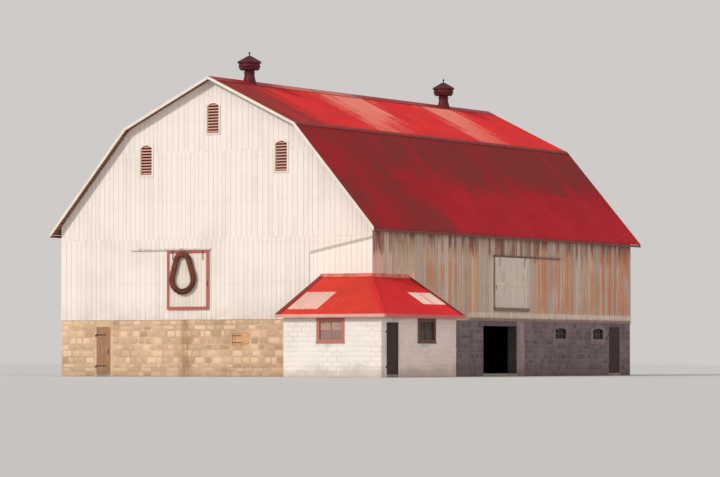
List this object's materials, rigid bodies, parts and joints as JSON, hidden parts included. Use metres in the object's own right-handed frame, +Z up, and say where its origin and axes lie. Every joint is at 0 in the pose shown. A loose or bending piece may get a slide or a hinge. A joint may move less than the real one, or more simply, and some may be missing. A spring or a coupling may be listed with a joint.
{
  "type": "barn",
  "caption": "Gambrel-roofed bank barn with masonry stable storey, board-walled hayloft, ridge ventilators, sliding doors and a lean-to annex round one corner.",
  "frame": {"origin": "centre of the barn's main plan on the ground, at the underside of the stable floor", "axes": "+Z up, +Y along the ridge away from the light-coloured gable, +X towards the long side with the doorways"},
  "size_m": [18.105, 27.755, 13.6417],
  "materials": {
    "masonry_front": "matte",
    "masonry_side": "matte",
    "masonry_white": "matte",
    "concrete": "matte",
    "cream_boards": "matte",
    "weathered_boards": "matte",
    "frame_timber": "matte",
    "dark_planks": "matte",
    "brown_planks": "matte",
    "white_planks": "matte",
    "brown_trim": "matte",
    "wreath_twigs": "matte",
    "roof_metal": "satin",
    "ridge_metal": "satin",
    "ventilator_metal": "satin",
    "ironwork": "matte",
    "window_glass": "gloss"
  },
  "bodies": {
    "barn": {"stable_floor": "concrete", "front_foundation_left": "masonry_front", "front_foundation_right": "masonry_front", "left_foundation": "masonry_side", "rear_foundation": "masonry_side", "right_foundation_near": "masonry_side", "right_foundation_pier": "masonry_white", "right_foundation_far": "masonry_side", "right_foundation_corner": "masonry_side", "foundation_lintels": "masonry_side", "stable_window_frames": "white_planks", "window_glass": "window_glass", "window_hatch": "brown_planks", "door_pintles": "ironwork", "stable_posts": "frame_timber", "floor_beams": "frame_timber", "floor_joists": "frame_timber", "main_floor": "frame_timber", "sill_beams": "frame_timber", "wall_posts": "frame_timber", "loft_posts": "frame_timber", "tie_beams": "frame_timber", "plates_and_purlins": "frame_timber", "rafters": "frame_timber", "front_gable_wall": "cream_boards", "rear_gable_wall": "weathered_boards", "left_wall": "weathered_boards", "right_wall": "weathered_boards", "gable_vents": "brown_trim", "gable_door": "white_planks", "gable_door_trim": "brown_trim", "door_wreath": "wreath_twigs", "side_door": "white_planks", "door_tracks": "ironwork", "roof_lower_left": "roof_metal", "roof_upper_left": "roof_metal", "roof_upper_right": "roof_metal", "roof_lower_right": "roof_metal", "ridge_cap": "ridge_metal", "barge_boards": "white_planks", "eave_boards": "brown_trim", "ventilator_near": "ventilator_metal", "ventilator_far": "ventilator_metal", "annex_floor": "concrete", "annex_front_wall": "masonry_white", "annex_side_wall_near": "masonry_white", "annex_side_wall_head": "masonry_white", "annex_side_wall_far": "masonry_white", "annex_end_walls": "masonry_white", "annex_roof_front": "roof_metal", "annex_roof_side": "roof_metal", "annex_fascia": "white_planks", "annex_window_frames": "brown_trim"},
    "plank_door": {"plank_door": "brown_planks"},
    "stable_door": {"stable_door": "dark_planks"},
    "annex_door": {"annex_door": "dark_planks"}
  },
  "joints": [
    {"name": "plank_door_hinge", "type": "hinge", "parent": "barn", "child": "plank_door", "pos_m": [-5.8, -11.89, 0.12], "axis": [0, 0, -1], "range_deg": [0, 105]},
    {"name": "stable_door_hinge", "type": "hinge", "parent": "barn", "child": "stable_door", "pos_m": [7.59, 9.69, 0.12], "axis": [0, 0, -1], "range_deg": [0, 105]},
    {"name": "annex_door_hinge", "type": "hinge", "parent": "barn", "child": "annex_door", "pos_m": [9.87, -14.7, 0.12], "axis": [0, 0, -1], "range_deg": [0, 105]}
  ]
}
